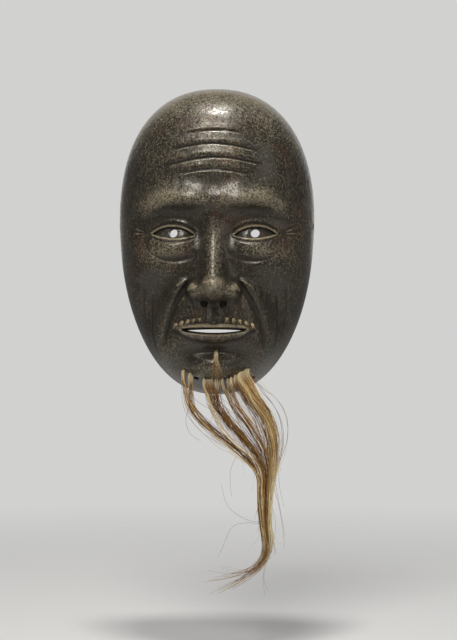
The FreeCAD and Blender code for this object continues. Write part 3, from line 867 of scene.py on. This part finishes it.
def hair_length(rng, tuft):
    """Most hairs end about where the lock bends. A quarter pass it, and a tenth reach the tip in wisps.

    Returns the length, where the hair leaves its tuft, and how far it strays sideways."""
    kind = rng.uniform()
    if kind < 0.05:
        leave = rng.uniform(0.15, 0.75) * tuft.lock_at
        return leave + rng.uniform(14.0, 34.0), leave, rng.choice([-1.0, 1.0]) * rng.uniform(3.0, 9.0)
    if kind < 0.16:
        length = rng.uniform(0.75, 1.1) * tuft.lock_at
        return length, length - rng.uniform(15.0, 30.0), rng.normal(0.0, 2.2)
    if kind < 0.25:
        length = tuft.bend_at + rng.uniform(-22.0, 9.0)
        return length, length - rng.uniform(8.0, 15.0), rng.normal(0.0, 3.0)
    if kind < 0.74:
        length = tuft.bend_at + rng.normal(0.0, 6.0)
        return length, length - rng.uniform(12.0, 34.0), rng.normal(0.5, 1.4)
    if kind < 0.90:
        length = tuft.bend_at + rng.triangular(6.0, 12.0, 32.0)
        return length, tuft.bend_at, rng.normal(0.3, 0.9)
    length = rng.uniform(0.90, 1.0) * tuft.total
    wisp = rng.choice([4.0, 0.5, -5.0, -12.5], p=[0.45, 0.15, 0.25, 0.15])
    return length, tuft.bend_at + 8.0, wisp + rng.normal(0.0, 0.2)


def hair_way(rng, index, tufts):
    """The tuft's centre line, or for a few hairs a line that crosses over to another tuft."""
    line = tufts[index].line
    if rng.uniform() < 0.15:
        other = int(np.clip(index + rng.choice([-2, -1, 1, 2]), 0, len(tufts) - 1))
        cross_at = rng.uniform(0.06, 0.42)
        share = np.linspace(0.0, 1.0, len(line))[:, None]
        line = mix(line, tufts[other].line, smooth((share - cross_at) / 0.30))
    return line


def hair_offsets(rng, tuft, clump):
    """How far a hair lies to the side of the centre line and behind it, all along the line."""
    angle = clump.bearing + rng.normal(0, 0.4) + clump.drift * tuft.along / 60.0
    reach = tuft.envelope * np.clip(clump.reach + rng.normal(0, 0.18), 0, 1.25)
    sway = clump.wander * np.sin(tuft.along / 17.0 + clump.wander_phase) + rng.normal(0, 0.7)
    bulge = rng.normal(0, 3.6) if rng.uniform() < 0.20 else rng.normal(0, 0.6)
    hanging = np.sin(math.pi * np.clip(tuft.along / tuft.lock_at, 0, 1)) ** 1.5
    fan = tuft.brush * (clump.fan + rng.normal(0, 0.15))
    wave = tuft.free * rng.uniform(0.05, 0.38)
    phase = rng.uniform(0, 2 * math.pi, 2)
    turns = tuft.along / rng.uniform(20, 52)
    side = reach * np.cos(angle) + tuft.loose * sway + bulge * hanging + fan
    side = side + wave * np.sin(turns * 2 * math.pi + phase[0])
    return side, 0.85 * reach * np.sin(angle) + wave * np.sin(turns * 8.2 + phase[1])


def grow_hair(rng, index, tufts, clump):
    """Points, radii and colours of one hair."""
    tuft = tufts[index]
    line = hair_way(rng, index, tufts)
    side, back = hair_offsets(rng, tuft, clump)
    length, leave, lift = hair_length(rng, tuft)
    length = min(length, tuft.total)
    beyond = np.clip((tuft.along - leave) / max(length - leave, 1.0), 0, 1)
    side = side + lift * beyond**1.8
    back = back + rng.normal(0, 1.1) * beyond**2
    out = tuft.brush * (clump.lift_out + rng.uniform(-0.4, 0.4))
    points = line + tuft.aside * side[:, None] + tuft.behind * back[:, None] + OUTWARD * out[:, None]
    keep = tuft.along <= length
    distance = tuft.along[keep]
    radii = rng.uniform(0.08, 0.17) * np.clip((length - distance) / 20.0, 0.3, 1.0) ** 0.6
    pale_root = TUFT_PALE_ROOT[index]
    tint = hair_colours(rng, distance - 5.0, tuft.lock_at, clump.tones, clump.depth, pale_root)
    return points[keep], radii, tint


def grow_tuft(rng, index, tufts, pieces):
    count = max(TUFT_HAIRS[index] // CLUMP_HAIRS, 3)
    for number in range(count):
        clump = Clump(rng, index, number, count)
        for _ in range(TUFT_HAIRS[index] // count):
            split_strand(rng, *grow_hair(rng, index, tufts, clump), pieces)


# Long stray hairs: tuft, height at which the hair leaves it, and places it passes, in x and z from there.
LEFT_CURL = ((-9, -2), (-22, 7), (-31, 26))
LEFT_DROOP = ((-12, 0), (-23, -3), (-27, -15), (-35, -25))
RIGHT_HANG = ((3, -15), (5, -36), (7, -52))
DOWN_WISP = ((-2, -9), (-2.5, -19), (-0.5, -27))
CHIN_CURL = ((-4, -9), (0, -20), (11, -27))
STRAYS = (
    (4, -183.0, LEFT_CURL),
    (5, -186.0, LEFT_DROOP),
    (9, -122.0, RIGHT_HANG),
    (9, -150.0, RIGHT_HANG),
    (8, -158.0, RIGHT_HANG),
    (7, -203.0, DOWN_WISP),
    (5, -206.0, DOWN_WISP),
    (0, -110.0, CHIN_CURL),
    (2, -112.0, CHIN_CURL),
    (1, -104.0, ((6, -5), (16, -9), (27, -13))),
    (3, -134.0, ((-7, -9), (-12, -21), (-10, -34))),
    (9, -172.0, ((2, -10), (3, -22), (1, -33))),
)


def grow_strays(rng, tufts, pieces):
    count = 90
    for index, height, steps in STRAYS:
        line = tufts[index].line
        leave = int(np.nonzero(line[:, 2] < height)[0][0])
        before = line[max(leave - 22, 0) : leave + 1 : 11]
        keys = [point + rng.normal(0, 0.5, 3) for point in before]
        for x, z in steps:
            step = np.array([x, 0.0, z]) * rng.uniform(0.88, 1.1)
            keys.append(line[leave] + step + rng.normal(0, 1.0, 3))
        points, length = resample(spline(keys, np.linspace(0, len(keys) - 1, 60)), count)
        points = softened(points, length, 2.6)
        radii = rng.uniform(0.12, 0.15) * np.linspace(1.0, 0.5, count)
        tint = np.tile(shade(rng.uniform(0.15, 0.5)), (count, 1))
        split_strand(rng, points, radii, tint, pieces)


def grow_beard():
    """The hair above the lock, in the lock, and at its tip, as three objects."""
    rng = np.random.default_rng(393)
    pieces = ([], [], [])
    tufts = [Tuft(line, girth) for line, girth in zip(beard_centrelines(), TUFT_GIRTH)]
    for index in range(len(tufts)):
        grow_tuft(rng, index, tufts, pieces)
    grow_strays(rng, tufts, pieces)
    names = ("beard_hair_upper", "beard_hair_lock", "beard_hair_tip")
    return [strand_mesh(name, strands) for name, strands in zip(names, pieces)]


def near_root(rng, root, radius):
    """A random place in the mouth of a socket."""
    bearing, reach = rng.uniform(0, 2 * math.pi), radius * math.sqrt(rng.uniform())
    return root + np.array([reach * math.cos(bearing), 0.0, reach * math.sin(bearing)])


def short_hair(rng, keys, count, length, thickest, taper, tones, pale_root):
    """Points, radii and colours of a hair through the keys, which ends before it could reach the lock."""
    points = spline(keys, np.linspace(0, len(keys) - 1, count))
    radii = rng.uniform(0.08, thickest) * np.linspace(1.0, taper, count)
    tone = rng.uniform(*tones)
    distance = np.linspace(0, length, count)
    return points, radii, hair_colours(rng, distance, 40.0, (tone, 0.5), 0.0, pale_root)


def grow_lip_tuft():
    rng = np.random.default_rng(74)
    root = lip_root()
    strands = []
    for _ in range(LIP_HAIRS):
        start = near_root(rng, root, 1.4)
        drop = rng.uniform(7.0, 17.5) if rng.uniform() < 0.7 else rng.uniform(3.0, 8.0)
        spread = rng.normal(-0.4, 2.0)
        bend = LIP_HINGE + start - root
        keys = [
            start - OUTWARD * 2.0,
            start + OUTWARD * 3.0,
            bend + (start - root) * 0.15 + (0.22 * spread, -0.6 + rng.normal(0, 0.4), -1.0),
            bend + (0.4 + 0.5 * spread, -2.6 + rng.normal(0, 0.4), -0.45 * drop),
            bend + (1.6 + spread, -3.0 + rng.normal(0, 0.9), -drop),
        ]
        strands.append(short_hair(rng, keys, 18, drop + 9, 0.13, 0.25, (0.3, 1.1), 6.0))
    return strand_mesh("lip_tuft_hair", strands)


def grow_moustache(side, name):
    rng = np.random.default_rng(50 + side)
    strands = []
    for root in moustache_roots(side):
        for _ in range(rng.integers(*STUB_HAIRS)):
            start = near_root(rng, root, 0.75)
            length = rng.uniform(1.6, 5.8)
            sideways = side * rng.uniform(0.0, 0.6) + rng.normal(0, 0.15)
            lean = length * unit(np.array([sideways, -1.0, rng.uniform(-0.9, -0.1)]))
            bend = np.array([rng.normal(0, 0.3), 0.0, -0.12 * length * rng.uniform(0.4, 1.4)])
            keys = [start - FORWARD * 1.2, start + FORWARD * 0.6, start + lean * 0.6, start + lean + bend]
            strands.append(short_hair(rng, keys, 9, length, 0.12, 0.35, (0.1, 0.7), 1.2))
    return strand_mesh(name, strands)


# ---------------- pegs in the hollow
def socket_length(root):
    """How far it is from the mouth of a socket to the hollow."""
    length = 0.0
    while True:
        x, y, z = (root - OUTWARD * length)[:, None]
        if surface_depth(x, z, INNER, hollow_carving) >= -y:
            return length
        length += 0.1


def whittled_pegs():
    rng = np.random.default_rng(12)
    parts = []
    for root in chin_roots() + [lip_root()]:
        depth = HAIR_IN_SOCKET + PEG_GAP
        start = root - OUTWARD * depth
        length = socket_length(root) + PEG_PROUD - depth
        path = [start - OUTWARD * length * share for share in (0.0, 0.3, 0.6, 0.9, 0.96, 1.0)]
        verts, faces = tube(path, [1.3, 1.36, 1.44, 1.52, 1.42, 1.1], 9)
        parts.append((verts + rng.normal(0, 0.045, verts.shape), faces))
    pegs = join_parts("tuft_pegs_whittled", parts)
    pegs.data.set_sharp_from_angle(angle=math.radians(25))
    return pegs


# ---------------- materials
class Nodes:
    """Short ways to add and link the shader nodes of a material or a world."""

    def __init__(self, owner):
        self.owner = owner
        owner.use_nodes = True
        self.tree = owner.node_tree
        self.shader = self.tree.nodes.get("Principled BSDF")

    def put(self, socket, value):
        if isinstance(value, bpy.types.NodeSocket):
            self.tree.links.new(value, socket)
        else:
            socket.default_value = value

    def fill(self, node, inputs):
        for key, value in inputs.items():
            self.put(node.inputs[key], value)
        return node

    def add(self, kind, inputs=None, **settings):
        node = self.tree.nodes.new(kind)
        for key, value in settings.items():
            setattr(node, key, value)
        return self.fill(node, inputs or {})

    def material(self, inputs):
        """The finished material, with these inputs of its shader."""
        self.fill(self.shader, inputs)
        return self.owner

    def attribute(self, name, output="Fac"):
        return self.add("ShaderNodeAttribute", attribute_name=name).outputs[output]

    def noise(self, vector, scale, detail=4.0, rough=0.55, distortion=0.0):
        inputs = {"Vector": vector, "Scale": scale, "Detail": detail}
        inputs |= {"Roughness": rough, "Distortion": distortion}
        return self.add("ShaderNodeTexNoise", inputs).outputs["Fac"]

    def ramp(self, value, low, high, out_low=0.0, out_high=1.0):
        inputs = {"Value": value, "From Min": low, "From Max": high, "To Min": out_low, "To Max": out_high}
        node = self.add("ShaderNodeMapRange", inputs, interpolation_type="SMOOTHSTEP", clamp=True)
        return node.outputs["Result"]

    def math(self, operation, a, b):
        return self.add("ShaderNodeMath", {0: a, 1: b}, operation=operation).outputs[0]

    def plus(self, a, b):
        return self.math("ADD", a, b)

    def minus(self, a, b):
        return self.math("SUBTRACT", a, b)

    def times(self, a, b):
        return self.math("MULTIPLY", a, b)

    def mix(self, share, a, b):
        node = self.add("ShaderNodeMix", {"Factor": share}, data_type="RGBA")
        return self.fill(node, {"A": a, "B": b}).outputs["Result"]

    def place(self, scale=(1, 1, 1)):
        spot = self.add("ShaderNodeTexCoord").outputs["Object"]
        return self.add("ShaderNodeMapping", {"Vector": spot, "Scale": scale}).outputs["Vector"]


def rgb(red, green, blue):
    return (red, green, blue, 1.0)


def new_material(name):
    return Nodes(bpy.data.materials.new(name))


def old_lacquer(n, where):
    """Brown-black lacquer, with a red undercoat that shows in speckled blotches."""
    cloud = n.noise(where, 38.0, 5.0, 0.6)
    tone = n.mix(cloud, rgb(0.0058, 0.0051, 0.0040), rgb(0.019, 0.0160, 0.0108))
    red_area = n.ramp(n.noise(where, 52.0, 4.0, 0.6, 0.4), 0.50, 0.66)
    red_speck = n.ramp(n.noise(where, 760.0, 3.0, 0.7), 0.44, 0.62)
    return n.mix(n.times(n.times(red_area, red_speck), 0.7), tone, rgb(0.085, 0.026, 0.013))


def bare_wood(n, where):
    """The wood of the hollow, darkened by use."""
    grain = n.noise(n.place((420.0, 420.0, 26.0)), 1.0, 6.0, 0.62, 1.2)
    bare = n.mix(grain, rgb(0.075, 0.044, 0.024), rgb(0.220, 0.135, 0.074))
    return n.mix(n.ramp(n.noise(where, 30.0, 3.0), 0.4, 0.7), bare, rgb(0.058, 0.036, 0.022))


def fine_relief(n, where, stroke):
    """Pits, strokes and slight unevenness, as a bumped normal."""
    pits = n.ramp(n.noise(where, 850.0, 3.0, 0.7), 0.56, 0.70)
    height = n.minus(n.times(stroke, 0.15), n.times(pits, 0.45))
    height = n.plus(height, n.times(n.noise(where, 210.0, 3.0), 0.55))
    inputs = {"Height": height, "Strength": 0.8, "Distance": 0.0004}
    return n.add("ShaderNodeBump", inputs).outputs["Normal"]


def lacquer_material():
    """Worn lacquer in front and bare wood in the hollow, with painted shade in the grooves, painted
    highlight on edges that face up and painted light at the crown.
    """
    n = new_material("worn_lacquer")
    where = n.place()
    groove, edge, raised_and_top_lit, inside = map(n.attribute, ("groove", "edge", "raised_and_top_lit", "inside"))
    tone = old_lacquer(n, where)

    # olive-bronze bloom, dense on the wood that stands out and at the crown, where it is partly painted
    # light from above, sparse elsewhere, always as fine speckle
    patch = n.noise(where, 30.0, 4.0, 0.6)
    density = n.ramp(n.plus(n.times(raised_and_top_lit, 0.55), n.times(patch, 0.75)), 0.34, 1.12)
    speck = n.noise(where, 780.0, 3.0, 0.75)
    worn_and_top_lit = n.ramp(n.plus(speck, n.times(density, 0.165)), 0.565, 0.670)
    worn_and_top_lit = n.times(worn_and_top_lit, n.minus(1.0, n.times(groove, 0.85)))
    bronze = n.mix(n.noise(where, 95.0, 3.0), rgb(0.105, 0.098, 0.068), rgb(0.215, 0.180, 0.112))
    tone = n.mix(n.times(worn_and_top_lit, 0.85), tone, bronze)

    # short strokes that run down the sides
    stroke = n.noise(n.place((900.0, 900.0, 120.0)), 1.0, 4.0, 0.7)
    stroke = n.ramp(n.plus(stroke, n.times(patch, 0.25)), 0.66, 0.80)
    tone = n.mix(n.times(stroke, 0.40), tone, rgb(0.17, 0.135, 0.080))

    # crumbs of the pale ground coat, pale edges that are partly rubbed and partly painted highlight, and
    # painted shade in the grooves
    crumb = n.noise(where, 1200.0, 2.0, 0.6)
    crumb = n.ramp(n.plus(crumb, n.times(density, 0.10)), 0.66, 0.75)
    tone = n.mix(n.times(crumb, 0.65), tone, rgb(0.46, 0.375, 0.24))
    chip = n.noise(where, 480.0, 5.0, 0.75)
    # pale rubbed edges, with painted highlight where the edge lines face up
    rubbed_and_lit = n.ramp(n.plus(n.times(edge, 0.32), chip), 0.64, 0.84)
    tone = n.mix(n.times(rubbed_and_lit, 0.7), tone, rgb(0.29, 0.24, 0.155))
    # painted shade in the grooves
    tone = n.mix(n.times(groove, 0.75), tone, rgb(0.005, 0.004, 0.003))

    rough = n.ramp(n.noise(where, 420.0, 4.0, 0.7), 0.32, 0.68, 0.26, 0.42)
    rough = n.plus(n.plus(rough, n.times(worn_and_top_lit, 0.12)), n.times(groove, 0.3))
    normal = fine_relief(n, where, stroke)
    return n.material(
        {
            "Base Color": n.mix(inside, tone, bare_wood(n, where)),
            "Roughness": n.math("MAXIMUM", rough, n.times(inside, 0.72)),
            "Coat Weight": n.times(n.minus(1.0, inside), 0.38),
            "Coat Roughness": 0.20,
            "Specular Tint": rgb(1.0, 0.90, 0.74),
            "Normal": normal,
            "Coat Normal": normal,
        }
    )


def hair_material():
    n = new_material("horsehair")
    tint = n.attribute("tint", "Color")
    return n.material({"Base Color": tint, "Roughness": 0.36, "Specular IOR Level": 0.45})


def peg_material():
    n = new_material("bare_peg_wood")
    grain = n.noise(n.place((900.0, 260.0, 260.0)), 1.0, 5.0, 0.6)
    colour = n.mix(grain, rgb(0.14, 0.075, 0.032), rgb(0.32, 0.20, 0.10))
    return n.material({"Base Color": colour, "Roughness": 0.7})


# ---------------- put the object together
def dress(piece, material, slot, *cad_nodes):
    """Gives a piece its material and hides the CAD nodes that it stands for."""
    piece.data.materials.append(material)
    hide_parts(*cad_nodes)


def bend_over(joint, piece, start, end):
    """Bakes the piece's placing into its mesh. start and end are steps from the hinge in mm; they are
    turned into metres and go no further.
    """
    hinge = np.array(HINGES[joint["name"]])
    start, end = ((hinge + step) * MM for step in (start, end))
    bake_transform(piece)


horsehair = hair_material()
shell = make_shell()
dress(shell, lacquer_material(), "lacquered_wood", "mask_shell")
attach(shell, "mask")
pegs = whittled_pegs()
dress(pegs, peg_material(), "peg_wood", "tuft_pegs")
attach(pegs, "mask")
for side, word in ((-1, "left"), (1, "right")):
    stubs = grow_moustache(side, "moustache_hair_" + word)
    dress(stubs, horsehair, "horsehair", "moustache_" + word)
    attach(stubs, "mask")

CHIN_NODES = ("tuft_roots", *("chin_tuft_%d" % number for number in range(1, 11)))
upper, lock, tip = grow_beard()
BENDS = {
    "beard_swing": (upper, CHIN_NODES, (0, 0, 6), (0, 0, -14)),
    "lock_sway": (lock, ("beard_lock",), (0, 0, 13), (0, 0, -13)),
    "tip_swing": (tip, ("beard_tip",), (0, 0, 11), (0, 0, -11)),
    "lip_tuft_swing": (grow_lip_tuft(), ("lip_tuft",), (0, 3.6, 2.3), (0, -2.7, -3.1)),
}
for joint in frame["joints"]:
    piece, cad_nodes, start, end = BENDS[joint["name"]]
    dress(piece, horsehair, "horsehair", *cad_nodes)
    bend_over(joint, piece, start, end)


# ---------------- floor, light and camera, placed in metres
def floor_sheet():
    """A pale floor that fades into the pale surroundings."""
    bpy.ops.mesh.primitive_circle_add(vertices=96, radius=3.0, fill_type="NGON")
    floor = bpy.context.object
    floor.location.z = FLOOR_Z * MM
    floor.name = "floor"
    n = new_material("pale_floor")
    floor.data.materials.append(n.material({"Base Color": rgb(0.68, 0.68, 0.675), "Roughness": 0.9}))
    spot = n.add("ShaderNodeTexCoord").outputs["Object"]
    far = n.add("ShaderNodeVectorMath", {0: spot}, operation="LENGTH").outputs["Value"]
    clear = n.add("ShaderNodeBsdfTransparent").outputs[0]
    inputs = {"Fac": n.ramp(far, 0.25, 1.0), 1: n.shader.outputs[0], 2: clear}
    fade = n.add("ShaderNodeMixShader", inputs).outputs[0]
    n.put(n.tree.nodes["Material Output"].inputs["Surface"], fade)


def surroundings():
    """Pale for the camera, dimmer as a light source."""
    world = bpy.data.worlds.new("studio")
    bpy.context.scene.world = world
    n = Nodes(world)
    n.tree.nodes.clear()
    seen = n.add("ShaderNodeBackground", {"Color": rgb(0.80, 0.80, 0.79), "Strength": 0.80})
    light = n.add("ShaderNodeBackground", {"Color": rgb(1.0, 0.99, 0.97), "Strength": 0.15})
    camera_ray = n.add("ShaderNodeLightPath").outputs["Is Camera Ray"]
    inputs = {"Fac": camera_ray, 1: light.outputs[0], 2: seen.outputs[0]}
    both = n.add("ShaderNodeMixShader", inputs).outputs[0]
    n.add("ShaderNodeOutputWorld", {"Surface": both})


def aim(obj, target):
    obj.rotation_euler = (Vector(target) - obj.location).to_track_quat("-Z", "Y").to_euler()


def softbox(name, place, target, size, power, colour=(1, 1, 1)):
    light = bpy.data.lights.new(name, "AREA")
    light.shape = "RECTANGLE"
    light.size, light.size_y = size
    light.energy = power
    light.color = colour
    obj = linked(name, light)
    obj.location = place
    aim(obj, target)
    return obj


def camera():
    data = bpy.data.cameras.new("camera")
    data.lens = 100.0
    data.sensor_width = 36.0
    obj = linked("camera", data)
    azimuth, distance = math.radians(2.0), 1.19
    look = Vector((0.0088, -0.03, -0.0532))
    obj.location = look + distance * Vector((math.sin(azimuth), -math.cos(azimuth), 0.0))
    aim(obj, look)
    bpy.context.scene.camera = obj


floor_sheet()
surroundings()
softbox("overhead", (0.0, -0.30, 1.10), (0, -0.03, 0.0), (0.20, 0.14), 8.5, (1.0, 0.99, 0.97))
softbox("key", (-0.15, -0.95, 0.85), (0, -0.03, -0.03), (0.50, 0.40), 10.0, (1.0, 0.98, 0.95))
softbox("left_fill", (-1.1, -0.55, 0.1), (0, -0.03, -0.05), (0.5, 0.9), 0.2)
softbox("right_fill", (1.05, -0.75, 0.25), (0, -0.03, -0.05), (0.5, 0.9), 1.7)
softbox("back_fill", (0.0, 1.20, 0.55), (0, 0, -0.02), (1.80, 1.20), 4.6).visible_camera = False
camera()
bpy.context.scene.view_settings.view_transform = "Standard"
